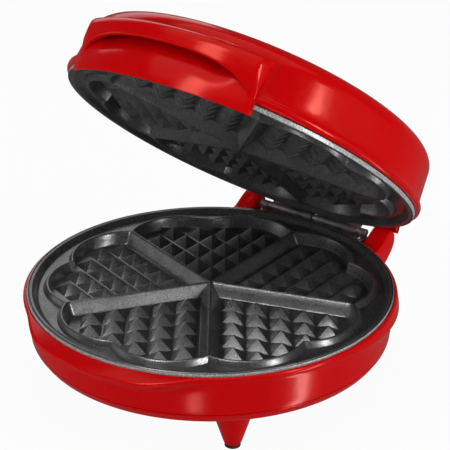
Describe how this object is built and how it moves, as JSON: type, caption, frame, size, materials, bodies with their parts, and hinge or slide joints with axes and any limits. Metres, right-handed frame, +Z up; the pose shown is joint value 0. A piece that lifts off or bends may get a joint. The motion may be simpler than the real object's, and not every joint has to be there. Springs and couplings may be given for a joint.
{
  "type": "waffle maker",
  "caption": "Round tabletop waffle maker with heart-shaped moulds in two coated plates, a hinged domed lid with a recessed grip, and conical feet.",
  "frame": {"origin": "centre of the base tray's flat underside, on the plates' axis", "axes": "+Z up, -Y towards the user and the lid's grip, +Y towards the hinge"},
  "size_m": [0.2042, 0.2269, 0.2086],
  "materials": {
    "red_plastic": "glossy moulded red",
    "plate_coating": "dark speckled non-stick coating on cast aluminium",
    "hinge_steel": "dark rolled steel",
    "zinc_screw": "zinc plated",
    "aluminised_sheet": "bright pressed sheet",
    "element_sheath": "heat-stained tube",
    "foot_rubber": "matt black",
    "black_nylon": "matt black",
    "cream_ceramic": "unglazed cream, ceramic in the real thing",
    "lead_sleeve": "woven sleeve",
    "red_lens": "clear red",
    "green_lens": "clear green",
    "neon_glass": "clear tube"
  },
  "bodies": {
    "base": {"base_shell": "red_plastic", "base_tray": "red_plastic", "foot_pad_1": "foot_rubber", "foot_pad_2": "foot_rubber", "foot_pad_3": "foot_rubber", "foot_pad_4": "foot_rubber", "lower_plate": "plate_coating", "lower_element": "element_sheath", "lower_heat_shield": "aluminised_sheet", "lower_heat_shield_screw": "zinc_screw", "thermostat": "black_nylon", "thermal_fuse": "lead_sleeve", "terminal_block": "cream_ceramic", "cord_gland": "black_nylon", "element_lead_left": "lead_sleeve", "element_lead_right": "lead_sleeve", "hinge_base_leaf": "hinge_steel", "hinge_pin": "zinc_screw", "hinge_screw_base_left": "zinc_screw", "hinge_screw_base_right": "zinc_screw", "tray_screw_1": "zinc_screw", "tray_screw_2": "zinc_screw", "tray_screw_3": "zinc_screw", "tray_screw_4": "zinc_screw"},
    "lid": {"lid_shell": "red_plastic", "lid_handle": "red_plastic", "hinge_cover": "red_plastic", "upper_plate": "plate_coating", "upper_element": "element_sheath", "upper_heat_shield": "aluminised_sheet", "upper_heat_shield_screw": "zinc_screw", "hinge_lid_leaf": "hinge_steel", "hinge_screw_lid_left": "zinc_screw", "hinge_screw_lid_right": "zinc_screw", "handle_screw_left": "zinc_screw", "handle_screw_right": "zinc_screw", "power_lens": "red_lens", "ready_lens": "green_lens", "power_lamp": "neon_glass", "ready_lamp": "neon_glass"}
  },
  "joints": [
    {"name": "lid_hinge", "type": "hinge", "parent": "base", "child": "lid", "pos_m": [0, 0.102, 0.0306], "axis": [-1, 0, 0], "range_deg": [-40.5, 54.5]}
  ]
}
